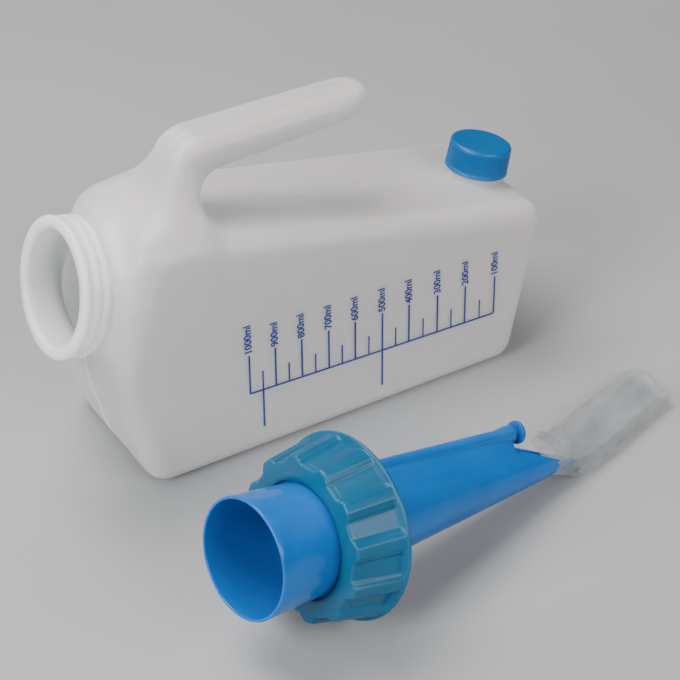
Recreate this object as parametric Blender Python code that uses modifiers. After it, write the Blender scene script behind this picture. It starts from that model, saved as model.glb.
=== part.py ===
"""Urine bottle with a drain cap and its loose funnel insert, modelled in metres with +Z up.

The bottle lies on its flat underside with the handle above it. The origin is the middle of
that underside, +X runs towards the closed base end and the bottle is symmetric about y = 0.
The funnel insert lies beside it on the -Y side, resting on its clamp ring and on its tip.
"""

import math

import bmesh
import bpy
from mathutils import Matrix, Vector

# Bottle body: a wedge whose top face falls towards the base end.
UNDERSIDE_LENGTH = 0.186
TOP_HEIGHT = 0.0792
TOP_SLOPE = math.radians(12.25)
BASE_LEAN = math.radians(14.2)
FRONT_LEAN = math.radians(14.3)
HALF_WIDTH = 0.0417
WIDTH_TAPER = 0.01
SIDE_DRAFT = 0.06
EDGE_RADIUS = 0.0085
EDGE_SEGMENTS = 5
WALL = 0.0014

# Wide neck: the funnel's seat. Its axis leaves the front end, tilted up.
NECK_MOUTH = Vector((-0.1164, 0.0, 0.0917))
NECK_TILT = math.radians(14.5)
NECK_ROOT_RADIUS = 0.0284
NECK_LIP_RADIUS = 0.0302
NECK_LIP_LENGTH = 0.0028
NECK_BORE_RADIUS = 0.025
SHOULDER_DEPTH = 0.019
NECK_DEPTH = 0.030
NECK_THREAD_PITCH = 0.0038
NECK_THREAD_START = -0.0052
NECK_THREAD_TURNS = 1.75

# Drain neck: the small screwed outlet on the top face, close to the base end.
DRAIN_X = 0.0969
DRAIN_ROOT_RADIUS = 0.0116
DRAIN_BORE_RADIUS = 0.0094
DRAIN_HEIGHT = 0.0133
DRAIN_BEAD_RADIUS = 0.0130
DRAIN_BEAD_HEIGHT = 0.0016
DRAIN_THREAD_PITCH = 0.003
DRAIN_THREAD_START = 0.0105
DRAIN_THREAD_TURNS = 1.75

# Handle: a full-width foot behind the neck that narrows into a free-ended grip.
# Each station is x, z, the path's angle above +X, half thickness and half width.
HANDLE_STATIONS = (
    (-0.0620, 0.1000, 90, 0.0130, 0.0320),
    (-0.0610, 0.1130, 88, 0.0115, 0.0310),
    (-0.0600, 0.1180, 84, 0.0094, 0.0262),
    (-0.0590, 0.1240, 79, 0.0084, 0.0195),
    (-0.0572, 0.1300, 66, 0.0085, 0.0150),
    (-0.0520, 0.1358, 40, 0.0092, 0.0133),
    (-0.0440, 0.1382, 8, 0.0088, 0.0130),
    (-0.0300, 0.1380, 0, 0.0084, 0.0130),
    (0.0000, 0.1383, 0, 0.0076, 0.0130),
    (0.0240, 0.1386, 0, 0.0067, 0.0128),
    (0.0320, 0.1387, 0, 0.0062, 0.0118),
    (0.0362, 0.1387, 0, 0.0048, 0.0092),
    (0.0382, 0.1387, 0, 0.0022, 0.0050),
)
HANDLE_SQUARENESS = 3.4
HANDLE_POINTS = 28

# Drain cap and its liner, measured up the drain axis from the top face.
CAP_SKIRT_FOOT = 0.0029
CAP_TOP = 0.0161
CAP_FOOT_RADIUS = 0.0145
CAP_CROWN_RADIUS = 0.0142
CAP_BORE_RADIUS = 0.0132
CAP_ROOF = 0.0014
CAP_RIBS = 60
CAP_RIB_HEIGHT = 0.00022
LINER_RADIUS = 0.0126
LINER_THICKNESS = 0.0008

# Funnel insert, measured from its mouth towards its tip along its own axis.
INSERT_MOUTH = Vector((-0.1094, -0.1448, 0.0491))
INSERT_YAW = math.radians(8.3)
INSERT_DIP = math.radians(12.9)
INSERT_ROLL = math.radians(-15)
FUNNEL_WALL = 0.0012
FUNNEL_MOUTH_RADIUS = 0.02465
COLLAR_END = 0.0311
COLLAR_END_RADIUS = 0.0228
FLANGE_RADIUS = 0.0310
FLANGE_THICKNESS = 0.0022
TUBE_START_RADIUS = 0.0224
TUBE_BEND = 0.054
TUBE_BEND_RADIUS = 0.0189
TUBE_TIP = 0.187
TUBE_TIP_RADIUS = 0.0061
CUT_START = 0.1470
CUT_ANGLE = math.radians(21.9)

# Vent pipe on the tube's upper side and the disc that closes its end.
PIPE_RADIUS = 0.0030
PIPE_BORE_RADIUS = 0.0017
PIPE_START = 0.040
PIPE_END = 0.1455
PIPE_START_OFFSET = 0.0214
PIPE_END_OFFSET = 0.0164
PIPE_FLARE_RADIUS = 0.0039
PIPE_FLARE_LENGTH = 0.009
PORT_STATION = 0.062
PORT_RADIUS = 0.0013
DISC_RADIUS = 0.0050
DISC_THICKNESS = 0.0018
DISC_GAP = 0.0026
STEM_RADIUS = 0.0013
STEM_LENGTH = 0.012

# Clamp ring that presses the funnel's flange onto the neck.
RING_FRONT = 0.0285
RING_BACK = 0.052
RING_FRONT_RADIUS = 0.0340
RING_BACK_RADIUS = 0.0374
RING_LIP_RADIUS = 0.0385
RING_LIP_LENGTH = 0.0018
RING_HOLE_RADIUS = 0.0240
RING_FACE = 0.0023
RING_BORE_RADIUS = 0.0316
SCALLOPS = 12
SCALLOP_TURN = math.radians(8)
SCALLOP_RADIUS = 0.009
SCALLOP_DEPTH = 0.0026
RING_THREAD_START = 0.0475
RING_THREAD_TURNS = 1.75

GASKET_INNER_RADIUS = 0.0229
GASKET_THICKNESS = 0.0018

# Film sleeve of the valve: x, y, height of the centre, yaw, half width and half height.
FILM_STATIONS = (
    (0.0488, -0.1216, 0.0133, 8.3, 0.0102, 0.0098),
    (0.0612, -0.1194, 0.0104, 11.0, 0.0109, 0.0087),
    (0.0740, -0.1158, 0.0079, 16.0, 0.0116, 0.0075),
    (0.0870, -0.1100, 0.0062, 19.0, 0.0120, 0.0060),
    (0.1020, -0.1044, 0.0052, 18.5, 0.0123, 0.0050),
    (0.1180, -0.0991, 0.0047, 17.5, 0.0127, 0.0045),
    (0.1335, -0.0943, 0.0045, 17.0, 0.0130, 0.0043),
)
FILM_THICKNESS = 0.0004
FILM_POINTS = 28

THREAD_WIRE_RADIUS = 0.0010
DRAIN_WIRE_RADIUS = 0.0006
ROUND_STEPS = 48
GAP = 0.0003


def clear_scene():
    for obj in list(bpy.data.objects):
        bpy.data.objects.remove(obj, do_unlink=True)


def new_collection(name):
    collection = bpy.data.collections.new(name)
    bpy.context.scene.collection.children.link(collection)
    return collection


def new_empty(name, matrix):
    empty = bpy.data.objects.new(name, None)
    PARTS.objects.link(empty)
    empty.matrix_world = matrix
    return empty


def new_object(name, mesh, collection, parent=None):
    obj = bpy.data.objects.new(name, mesh)
    collection.objects.link(obj)
    obj.parent = parent
    if collection is CUTTERS:
        obj.hide_render = True
        obj.display_type = "WIRE"
    return obj


def new_material(name, colour, roughness, alpha=1.0):
    material = bpy.data.materials.new(name)
    material.use_nodes = True
    shader = material.node_tree.nodes["Principled BSDF"]
    shader.inputs["Base Color"].default_value = (*colour, 1.0)
    shader.inputs["Roughness"].default_value = roughness
    shader.inputs["Metallic"].default_value = 0.0
    shader.inputs["Alpha"].default_value = alpha
    return material


def finish_part(obj, material):
    obj.data.materials.append(material)
    obj.data.shade_smooth()
    obj.data.set_sharp_from_angle(angle=math.radians(35))


def join_modifier(target, tool, operation):
    modifier = target.modifiers.new(f"{operation.lower()} {tool.name}", "BOOLEAN")
    modifier.operation = operation
    modifier.solver = "EXACT"
    modifier.object = tool


def mesh_from_bmesh(name, bm):
    bmesh.ops.recalc_face_normals(bm, faces=bm.faces)
    mesh = bpy.data.meshes.new(name)
    bm.to_mesh(mesh)
    bm.free()
    return mesh


def turned(name, profile, collection, parent, steps=ROUND_STEPS, ring=False):
    """A profile of (radius, height) points, outer side first and downwards, spun about Z."""
    mesh = bpy.data.meshes.new(name)
    edges = [(i, i + 1) for i in range(len(profile) - 1)]
    if ring:
        edges.append((len(profile) - 1, 0))
    mesh.from_pydata([(radius, 0.0, height) for radius, height in profile], edges, [])
    obj = new_object(name, mesh, collection, parent)
    screw = obj.modifiers.new("spin", "SCREW")
    screw.steps = steps
    screw.render_steps = steps
    screw.use_merge_vertices = True
    screw.merge_threshold = 0.00001
    return obj


def cylinder(name, radius, low, high, collection, parent, steps=ROUND_STEPS):
    profile = ((0.0, high), (radius, high), (radius, low), (0.0, low))
    return turned(name, profile, collection, parent, steps)


def loft(name, rings, collection, parent=None):
    """A closed skin through equal rings of points, with a flat cap on each end."""
    bm = bmesh.new()
    loops = [[bm.verts.new(point) for point in ring] for ring in rings]
    count = len(loops[0])
    for near, far in zip(loops, loops[1:]):
        for i in range(count):
            bm.faces.new((near[i], near[(i + 1) % count], far[(i + 1) % count], far[i]))
    bm.faces.new(loops[0])
    bm.faces.new(loops[-1])
    return new_object(name, mesh_from_bmesh(name, bm), collection, parent)


def helix(name, radius, start, pitch, turns, wire, collection, parent):
    """One thread ridge: a round wire wound down from the start height, as a closed mesh."""
    steps = int(turns * 36)
    curve = bpy.data.curves.new(name, "CURVE")
    curve.dimensions = "3D"
    curve.bevel_depth = wire
    curve.bevel_resolution = 1
    curve.use_fill_caps = True
    spline = curve.splines.new("POLY")
    spline.points.add(steps)
    for i, point in enumerate(spline.points):
        angle = 2 * math.pi * turns * i / steps
        height = start - pitch * turns * i / steps
        point.co = (radius * math.cos(angle), radius * math.sin(angle), height, 1.0)
    guide = new_object(f"{name}_path", curve, collection, parent)
    bpy.context.view_layer.update()
    graph = bpy.context.evaluated_depsgraph_get()
    mesh = bpy.data.meshes.new_from_object(guide.evaluated_get(graph))
    bm = bmesh.new()
    bm.from_mesh(mesh)
    bmesh.ops.remove_doubles(bm, verts=bm.verts, dist=0.00001)
    bm.to_mesh(mesh)
    bm.free()
    bpy.data.objects.remove(guide, do_unlink=True)
    return new_object(name, mesh, collection, parent)


def crossing(line_a, line_b):
    """The point where two lines of the side view meet, each given as (normal, distance)."""
    (ax, az), da = line_a
    (bx, bz), db = line_b
    scale = ax * bz - az * bx
    return (da * bz - db * az) / scale, (ax * db - bx * da) / scale


def line_through(point, normal):
    return normal, point[0] * normal[0] + point[1] * normal[1]


def body_lines():
    """The five faces of the body in the side view, as outward normals with distances."""
    half = UNDERSIDE_LENGTH / 2
    shoulder = (
        NECK_MOUTH.x + SHOULDER_DEPTH * math.cos(NECK_TILT),
        NECK_MOUTH.z - SHOULDER_DEPTH * math.sin(NECK_TILT),
    )
    return (
        line_through((0.0, 0.0), (0.0, -1.0)),
        line_through((half, 0.0), (math.cos(BASE_LEAN), -math.sin(BASE_LEAN))),
        line_through((half, TOP_HEIGHT), (math.sin(TOP_SLOPE), math.cos(TOP_SLOPE))),
        line_through(shoulder, (-math.cos(NECK_TILT), math.sin(NECK_TILT))),
        line_through((-half, 0.0), (-math.cos(FRONT_LEAN), -math.sin(FRONT_LEAN))),
    )


def half_width(x, z):
    return HALF_WIDTH + WIDTH_TAPER * (x - UNDERSIDE_LENGTH / 2) - SIDE_DRAFT * z


def top_height(x):
    return TOP_HEIGHT - math.tan(TOP_SLOPE) * (x - UNDERSIDE_LENGTH / 2)


def body_block(name, inset, collection):
    """The wedge-shaped body with rounded edges, with every face moved in by the inset."""
    lines = [(normal, distance - inset) for normal, distance in body_lines()]
    corners = [crossing(lines[i - 1], lines[i]) for i in range(len(lines))]
    bm = bmesh.new()
    bmesh.ops.create_cone(
        bm, cap_ends=True, segments=len(corners), radius1=1.0, radius2=1.0, depth=1.0
    )
    for vert in bm.verts:
        turn = math.atan2(vert.co.y, vert.co.x) / (2 * math.pi) * len(corners)
        x, z = corners[round(turn) % len(corners)]
        side = half_width(x, z) - inset
        vert.co = (x, math.copysign(side, vert.co.z), z)
    bmesh.ops.recalc_face_normals(bm, faces=bm.faces)
    bmesh.ops.bevel(
        bm,
        geom=bm.edges[:],
        offset=EDGE_RADIUS - inset,
        segments=EDGE_SEGMENTS,
        profile=0.5,
        affect="EDGES",
        clamp_overlap=True,
    )
    return new_object(name, mesh_from_bmesh(name, bm), collection)


def handle_form(name, inset, stations, collection):
    """The handle as rounded-rectangle sections across its path, shrunk by the inset."""
    rings = []
    for x, z, path_angle, thickness, width in stations:
        tilt = math.radians(path_angle)
        across = Vector((-math.sin(tilt), 0.0, math.cos(tilt)))
        ring = []
        for i in range(HANDLE_POINTS):
            angle = 2 * math.pi * (i + 0.5) / HANDLE_POINTS
            high = rounded(math.sin(angle)) * (thickness - inset)
            wide = rounded(math.cos(angle)) * (width - inset)
            ring.append(Vector((x, wide, z)) + across * high)
        rings.append(ring)
    return loft(name, rings, collection)


def rounded(value):
    """A sine or cosine pushed outwards, which turns an ellipse into a rounded rectangle."""
    return math.copysign(abs(value) ** (2 / HANDLE_SQUARENESS), value)


def make_bottle(neck, drain):
    bottle = body_block("bottle_shell", 0.0, PARTS)
    barrel_profile = (
        (0.0, 0.0),
        (NECK_LIP_RADIUS - 0.0008, 0.0),
        (NECK_LIP_RADIUS, -0.0008),
        (NECK_LIP_RADIUS, -NECK_LIP_LENGTH),
        (NECK_ROOT_RADIUS, -NECK_LIP_LENGTH - 0.0008),
        (NECK_ROOT_RADIUS, -NECK_DEPTH),
        (0.0, -NECK_DEPTH),
    )
    barrel = turned("neck_barrel", barrel_profile, CUTTERS, neck)
    thread = helix(
        "neck_thread",
        NECK_ROOT_RADIUS + 0.0014,
        NECK_THREAD_START,
        NECK_THREAD_PITCH,
        NECK_THREAD_TURNS,
        THREAD_WIRE_RADIUS + 0.0005,
        CUTTERS,
        neck,
    )
    outlet_profile = (
        (0.0, DRAIN_HEIGHT),
        (DRAIN_ROOT_RADIUS - 0.0004, DRAIN_HEIGHT),
        (DRAIN_ROOT_RADIUS, DRAIN_HEIGHT - 0.0004),
        (DRAIN_ROOT_RADIUS, DRAIN_BEAD_HEIGHT),
        (DRAIN_BEAD_RADIUS, DRAIN_BEAD_HEIGHT - 0.0006),
        (DRAIN_BEAD_RADIUS, -0.003),
        (0.0, -0.003),
    )
    outlet = turned("drain_outlet", outlet_profile, CUTTERS, drain)
    outlet_thread = helix(
        "drain_thread",
        DRAIN_ROOT_RADIUS + 0.0001,
        DRAIN_THREAD_START,
        DRAIN_THREAD_PITCH,
        DRAIN_THREAD_TURNS,
        DRAIN_WIRE_RADIUS,
        CUTTERS,
        drain,
    )
    handle = handle_form("handle_outside", 0.0, HANDLE_STATIONS, CUTTERS)
    for piece in (barrel, thread, outlet, outlet_thread, handle):
        join_modifier(bottle, piece, "UNION")

    hollow = body_block("body_hollow", WALL, CUTTERS)
    bore = cylinder("neck_bore", NECK_BORE_RADIUS, -NECK_DEPTH, 0.002, CUTTERS, neck)
    drain_bore = cylinder("drain_bore", DRAIN_BORE_RADIUS, -0.004, 0.02, CUTTERS, drain)
    handle_hollow = handle_form("handle_hollow", WALL, HANDLE_STATIONS[:-2], CUTTERS)
    for piece in (bore, drain_bore, handle_hollow):
        join_modifier(hollow, piece, "UNION")
    join_modifier(bottle, hollow, "DIFFERENCE")
    finish_part(bottle, new_material("frosted_polyethylene", (0.82, 0.83, 0.84), 0.42))


def make_drain_cap(drain):
    height = CAP_TOP - CAP_SKIRT_FOOT
    bm = bmesh.new()
    bmesh.ops.create_cone(
        bm,
        cap_ends=True,
        segments=2 * CAP_RIBS,
        radius1=CAP_FOOT_RADIUS,
        radius2=CAP_CROWN_RADIUS,
        depth=height,
        matrix=Matrix.Translation((0.0, 0.0, CAP_SKIRT_FOOT + height / 2)),
    )
    for vert in bm.verts:
        step = round(math.atan2(vert.co.y, vert.co.x) / math.pi * CAP_RIBS)
        if step % 2:
            shrink = 1 - CAP_RIB_HEIGHT / vert.co.xy.length
            vert.co.x *= shrink
            vert.co.y *= shrink
    cap = new_object("drain_cap", mesh_from_bmesh("drain_cap", bm), PARTS, drain)
    roof = CAP_TOP - CAP_ROOF
    bore = cylinder("cap_bore", CAP_BORE_RADIUS, -0.005, roof, CUTTERS, drain)
    join_modifier(cap, bore, "DIFFERENCE")
    thread = helix(
        "cap_thread",
        CAP_BORE_RADIUS + 0.0001,
        DRAIN_THREAD_START + 0.5 * DRAIN_THREAD_PITCH,
        DRAIN_THREAD_PITCH,
        DRAIN_THREAD_TURNS,
        DRAIN_WIRE_RADIUS,
        CUTTERS,
        drain,
    )
    join_modifier(cap, thread, "UNION")
    finish_part(cap, new_material("cap_polypropylene", (0.02, 0.27, 0.55), 0.38))
    liner = cylinder(
        "drain_cap_liner",
        LINER_RADIUS,
        roof - GAP - LINER_THICKNESS,
        roof - GAP,
        PARTS,
        drain,
    )
    finish_part(liner, new_material("liner_foam", (0.85, 0.85, 0.82), 0.7))


def funnel_profile():
    """The funnel's wall as a closed loop: outside from tip to mouth, then inside back."""
    back = COLLAR_END + FLANGE_THICKNESS
    outside = (
        (TUBE_TIP_RADIUS, TUBE_TIP),
        (TUBE_BEND_RADIUS, TUBE_BEND),
        (TUBE_START_RADIUS, back),
        (FLANGE_RADIUS, back),
        (FLANGE_RADIUS, COLLAR_END),
        (COLLAR_END_RADIUS, COLLAR_END),
        (FUNNEL_MOUTH_RADIUS, 0.0004),
        (FUNNEL_MOUTH_RADIUS - 0.0003, 0.0),
    )
    inside = (
        (FUNNEL_MOUTH_RADIUS - FUNNEL_WALL + 0.0003, 0.0),
        (FUNNEL_MOUTH_RADIUS - FUNNEL_WALL, 0.0004),
        (COLLAR_END_RADIUS - FUNNEL_WALL, COLLAR_END),
        (TUBE_BEND_RADIUS - FUNNEL_WALL, TUBE_BEND),
        (TUBE_TIP_RADIUS - FUNNEL_WALL, TUBE_TIP),
    )
    return outside + inside


def tube_radius(station):
    share = (station - TUBE_BEND) / (TUBE_TIP - TUBE_BEND)
    return TUBE_BEND_RADIUS + share * (TUBE_TIP_RADIUS - TUBE_BEND_RADIUS)


def pipe_offset(station):
    share = (station - PIPE_START) / (PIPE_END - PIPE_START)
    return PIPE_START_OFFSET + share * (PIPE_END_OFFSET - PIPE_START_OFFSET)


def pipe_matrix():
    """The vent pipe's frame: its end is the origin and +Z runs along it, out of the end."""
    slope = math.atan2(PIPE_END_OFFSET - PIPE_START_OFFSET, PIPE_END - PIPE_START)
    place = Matrix.Translation((PIPE_END_OFFSET, 0.0, PIPE_END))
    return place @ Matrix.Rotation(slope, 4, "Y")


def make_pipe_web(insert):
    """The fin that joins the vent pipe to the tube below it."""
    bm = bmesh.new()
    bmesh.ops.create_cube(bm, size=1.0)
    for vert in bm.verts:
        far = vert.co.z > 0
        station = PIPE_END - 0.0008 if far else PIPE_START + 0.002
        edge = pipe_offset(station) if vert.co.x > 0 else tube_radius(station) - 0.0006
        vert.co = (edge, math.copysign(0.0009, vert.co.y), station)
    return new_object("pipe_web", mesh_from_bmesh("pipe_web", bm), CUTTERS, insert)


def make_funnel(insert, pipe):
    funnel = turned("funnel", funnel_profile(), PARTS, insert, ring=True)
    length = (PIPE_END - PIPE_START) / math.cos(
        math.atan2(PIPE_START_OFFSET - PIPE_END_OFFSET, PIPE_END - PIPE_START)
    )
    pipe_profile = (
        (0.0, 0.0),
        (PIPE_FLARE_RADIUS, 0.0),
        (PIPE_FLARE_RADIUS, -0.0015),
        (PIPE_RADIUS, -PIPE_FLARE_LENGTH),
        (PIPE_RADIUS, -length),
        (0.0, -length),
    )
    rail = turned("pipe_outside", pipe_profile, CUTTERS, pipe, steps=20)
    throat = turned("tube_throat", throat_profile(), CUTTERS, insert)
    join_modifier(rail, throat, "DIFFERENCE")
    web = make_pipe_web(insert)
    bore = cylinder("pipe_bore", PIPE_BORE_RADIUS, 0.01 - length, 0.003, CUTTERS, pipe, 16)
    port = cylinder("vent_port", PORT_RADIUS, -0.008, 0.0003, CUTTERS, insert, 14)
    port.matrix_local = Matrix.Translation(
        (pipe_offset(PORT_STATION), 0.0, PORT_STATION)
    ) @ Matrix.Rotation(math.pi / 2, 4, "Y")
    join_modifier(funnel, rail, "UNION")
    join_modifier(funnel, web, "UNION")
    join_modifier(funnel, bore, "DIFFERENCE")
    join_modifier(funnel, port, "DIFFERENCE")
    join_modifier(funnel, make_tip_cutter(insert), "DIFFERENCE")
    finish_part(funnel, new_material("funnel_polypropylene", (0.02, 0.30, 0.72), 0.25))


def throat_profile():
    """The empty inside of the funnel, which keeps the vent pipe out of the tube."""
    return (
        (0.0, TUBE_TIP),
        (TUBE_TIP_RADIUS - FUNNEL_WALL / 2, TUBE_TIP),
        (TUBE_BEND_RADIUS - FUNNEL_WALL / 2, TUBE_BEND),
        (COLLAR_END_RADIUS - FUNNEL_WALL / 2, COLLAR_END),
        (COLLAR_END_RADIUS - FUNNEL_WALL / 2, 0.0),
        (0.0, 0.0),
    )


def make_tip_cutter(insert):
    """A block whose lower face is the oblique cut, from the vent side down to the tip."""
    size = 0.08
    bm = bmesh.new()
    bmesh.ops.create_cube(bm, size=size)
    cutter = new_object("tip_cutter", mesh_from_bmesh("tip_cutter", bm), CUTTERS, insert)
    start = Matrix.Translation((tube_radius(CUT_START), 0.0, CUT_START))
    tilt = Matrix.Rotation(-CUT_ANGLE, 4, "Y")
    cutter.matrix_local = start @ tilt @ Matrix.Translation((size / 2, 0.0, size / 2))
    return cutter


def make_vent_disc(pipe):
    face = DISC_GAP
    back = DISC_GAP + DISC_THICKNESS
    profile = (
        (0.0, back),
        (DISC_RADIUS - 0.0005, back),
        (DISC_RADIUS, back - 0.0005),
        (DISC_RADIUS, face),
        (STEM_RADIUS, face),
        (STEM_RADIUS, face - STEM_LENGTH),
        (0.0, face - STEM_LENGTH),
    )
    disc = turned("vent_disc", profile, PARTS, pipe, steps=32)
    finish_part(disc, new_material("vent_disc_polypropylene", (0.02, 0.28, 0.68), 0.3))


def ring_outside(station):
    share = (station - RING_FRONT) / (RING_BACK - RING_LIP_LENGTH - RING_FRONT)
    return RING_FRONT_RADIUS + share * (RING_BACK_RADIUS - RING_FRONT_RADIUS)


def make_clamp_ring(insert):
    lip = RING_BACK - RING_LIP_LENGTH
    inner_face = RING_FRONT + RING_FACE
    profile = (
        (RING_LIP_RADIUS, RING_BACK),
        (RING_LIP_RADIUS, lip),
        (RING_BACK_RADIUS, lip - 0.0004),
        (RING_FRONT_RADIUS, RING_FRONT),
        (RING_HOLE_RADIUS, RING_FRONT),
        (RING_HOLE_RADIUS, inner_face),
        (RING_BORE_RADIUS, inner_face),
        (RING_BORE_RADIUS, RING_BACK),
    )
    ring = turned("clamp_ring", profile, PARTS, insert, steps=72, ring=True)
    low = RING_FRONT - 0.006
    high = lip - 0.0008
    for i in range(SCALLOPS):
        ends = []
        for station in (low, high):
            reach = ring_outside(station) - SCALLOP_DEPTH + SCALLOP_RADIUS
            ends.append(Vector((reach, 0.0, station)))
        run = ends[1] - ends[0]
        cutter = cylinder(
            f"scallop_{i + 1:02d}", SCALLOP_RADIUS, 0.0, run.length, CUTTERS, insert, 28
        )
        turn = Matrix.Rotation(SCALLOP_TURN + 2 * math.pi * i / SCALLOPS, 4, "Z")
        lean = Matrix.Rotation(math.atan2(run.x, run.z), 4, "Y")
        cutter.matrix_local = turn @ Matrix.Translation(ends[0]) @ lean
        join_modifier(ring, cutter, "DIFFERENCE")
    thread = helix(
        "ring_thread",
        RING_BORE_RADIUS + 0.0002,
        RING_THREAD_START,
        NECK_THREAD_PITCH,
        RING_THREAD_TURNS,
        THREAD_WIRE_RADIUS + 0.0004,
        CUTTERS,
        insert,
    )
    join_modifier(ring, thread, "UNION")
    finish_part(ring, new_material("ring_polyethylene", (0.03, 0.36, 0.58), 0.45))


def make_gasket(insert):
    low = COLLAR_END + FLANGE_THICKNESS + GAP
    high = low + GASKET_THICKNESS
    outer = FLANGE_RADIUS - 0.0004
    profile = (
        (outer, high),
        (outer, low),
        (GASKET_INNER_RADIUS, low),
        (GASKET_INNER_RADIUS, high),
    )
    gasket = turned("flange_gasket", profile, PARTS, insert, ring=True)
    finish_part(gasket, new_material("gasket_silicone", (0.75, 0.76, 0.74), 0.5))


def film_ring(station, inset):
    x, y, z, yaw, width, height = station
    turn = math.radians(yaw)
    across = Vector((-math.sin(turn), math.cos(turn), 0.0))
    ring = []
    for i in range(FILM_POINTS):
        angle = 2 * math.pi * i / FILM_POINTS
        side = across * (width - inset) * math.cos(angle)
        ring.append(Vector((x, y, z)) + side + Vector((0, 0, (height - inset) * math.sin(angle))))
    return ring


def make_film():
    """The sleeve as an open tube: outer skin, far rim, inner skin and near rim."""
    bm = bmesh.new()
    outer = [film_ring(station, 0.0) for station in FILM_STATIONS]
    inner = [film_ring(station, FILM_THICKNESS) for station in reversed(FILM_STATIONS)]
    loops = [[bm.verts.new(point) for point in ring] for ring in outer + inner]
    for near, far in zip(loops, loops[1:] + loops[:1]):
        for i in range(FILM_POINTS):
            j = (i + 1) % FILM_POINTS
            bm.faces.new((near[i], near[j], far[j], far[i]))
    film = new_object("valve_film", mesh_from_bmesh("valve_film", bm), PARTS)
    finish_part(film, new_material("clear_film", (0.85, 0.87, 0.88), 0.12, alpha=0.35))


def insert_matrix():
    """The insert's frame: the mouth's centre, +Z to the tip and +X to the vent side."""
    yaw = Matrix.Rotation(INSERT_YAW, 4, "Z")
    dip = Matrix.Rotation(math.pi / 2 + INSERT_DIP, 4, "Y")
    roll = Matrix.Rotation(math.pi + INSERT_ROLL, 4, "Z")
    return Matrix.Translation(INSERT_MOUTH) @ yaw @ dip @ roll


def main():
    neck_turn = Matrix.Rotation(NECK_TILT - math.pi / 2, 4, "Y")
    neck = new_empty("neck_axis", Matrix.Translation(NECK_MOUTH) @ neck_turn)
    drain_foot = Matrix.Translation((DRAIN_X, 0.0, top_height(DRAIN_X)))
    drain = new_empty("drain_axis", drain_foot @ Matrix.Rotation(TOP_SLOPE, 4, "Y"))
    insert = new_empty("insert_axis", insert_matrix())
    pipe = new_empty("pipe_axis", insert_matrix() @ pipe_matrix())
    make_bottle(neck, drain)
    make_drain_cap(drain)
    make_funnel(insert, pipe)
    make_vent_disc(pipe)
    make_clamp_ring(insert)
    make_gasket(insert)
    make_film()


clear_scene()
PARTS = new_collection("urine_bottle")
CUTTERS = new_collection("cutters")
main()
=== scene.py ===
"""Looks for the urine bottle: fine surfaces, materials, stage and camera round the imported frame."""

import math

import bmesh
import bpy
import numpy as np
from mathutils import Matrix, Vector


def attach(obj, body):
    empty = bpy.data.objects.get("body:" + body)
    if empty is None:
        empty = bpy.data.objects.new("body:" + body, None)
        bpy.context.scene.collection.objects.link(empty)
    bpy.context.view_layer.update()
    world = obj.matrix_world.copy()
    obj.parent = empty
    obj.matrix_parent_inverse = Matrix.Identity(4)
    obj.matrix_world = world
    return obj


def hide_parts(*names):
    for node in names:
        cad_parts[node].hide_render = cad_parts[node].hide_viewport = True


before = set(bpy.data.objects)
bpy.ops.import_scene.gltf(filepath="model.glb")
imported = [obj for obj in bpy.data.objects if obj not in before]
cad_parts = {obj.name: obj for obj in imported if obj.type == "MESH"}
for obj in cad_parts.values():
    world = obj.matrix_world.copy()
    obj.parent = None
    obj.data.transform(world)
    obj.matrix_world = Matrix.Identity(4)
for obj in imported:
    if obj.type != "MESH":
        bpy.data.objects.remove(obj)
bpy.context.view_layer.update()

# The design's dimensions, in metres. They are the CAD source's, except that the bottle's wall is
# a little thicker here and the cap's ceiling a little lower.
HALF_LENGTH = 0.093
TOP_HEIGHT = 0.0792
TOP_SLOPE = math.radians(12.25)
BASE_LEAN = math.radians(14.2)
FRONT_LEAN = math.radians(14.3)
NECK_MOUTH = Vector((-0.1164, 0.0, 0.0917))
NECK_TILT = math.radians(14.5)
SHOULDER_DEPTH = 0.019
DRAIN_X = 0.0969
INSERT_MOUTH = Vector((-0.1094, -0.1448, 0.0491))
INSERT_YAW = math.radians(8.3)
INSERT_DIP = math.radians(12.9)
INSERT_ROLL = math.radians(-15)
# The vent pipe's first and last station along the insert, and its rise off the axis at each.
PIPE_SPAN = (0.0400, 0.1455)
PIPE_RISE = (0.0214, 0.0164)
# The tapering tube's first and last station, its radius at each, and its wall.
TUBE_SPAN = (0.054, 0.187)
TUBE_RADII = (0.0189, 0.0061)
TUBE_WALL = 0.0012
WALL = 0.0015
EDGE = 0.0085
NECK_RADIUS = 0.0284
DRAIN_FOOT = TOP_HEIGHT - math.tan(TOP_SLOPE) * (DRAIN_X - HALF_LENGTH)
# The drain cap's heights over the drain neck's foot.
CAP_FOOT = 0.0029
CAP_TOP = 0.0161
CAP_CEILING = 0.0146
# Every thread runs for as many turns; the drain neck and its cap share a pitch.
THREAD_TURNS = 1.75
DRAIN_PITCH = 0.003


# ---------------------------------------------------------------- frames and meshes


def drain_frame():
    """At the drain neck's foot, with +Z up its axis."""
    return Matrix.Translation((DRAIN_X, 0.0, DRAIN_FOOT)) @ Matrix.Rotation(TOP_SLOPE, 4, "Y")


def insert_frame():
    """At the middle of the funnel's mouth, with +Z down its axis and +X towards the vent pipe."""
    yaw = Matrix.Rotation(INSERT_YAW, 4, "Z")
    dip = Matrix.Rotation(math.pi / 2 + INSERT_DIP, 4, "Y")
    roll = Matrix.Rotation(math.pi + INSERT_ROLL, 4, "Z")
    return Matrix.Translation(INSERT_MOUTH) @ yaw @ dip @ roll


def pipe_frame():
    """At the vent pipe's open end, with +Z out of it."""
    slope = math.atan2(PIPE_RISE[1] - PIPE_RISE[0], PIPE_SPAN[1] - PIPE_SPAN[0])
    end = Matrix.Translation((PIPE_RISE[1], 0.0, PIPE_SPAN[1])) @ Matrix.Rotation(slope, 4, "Y")
    return insert_frame() @ end


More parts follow.
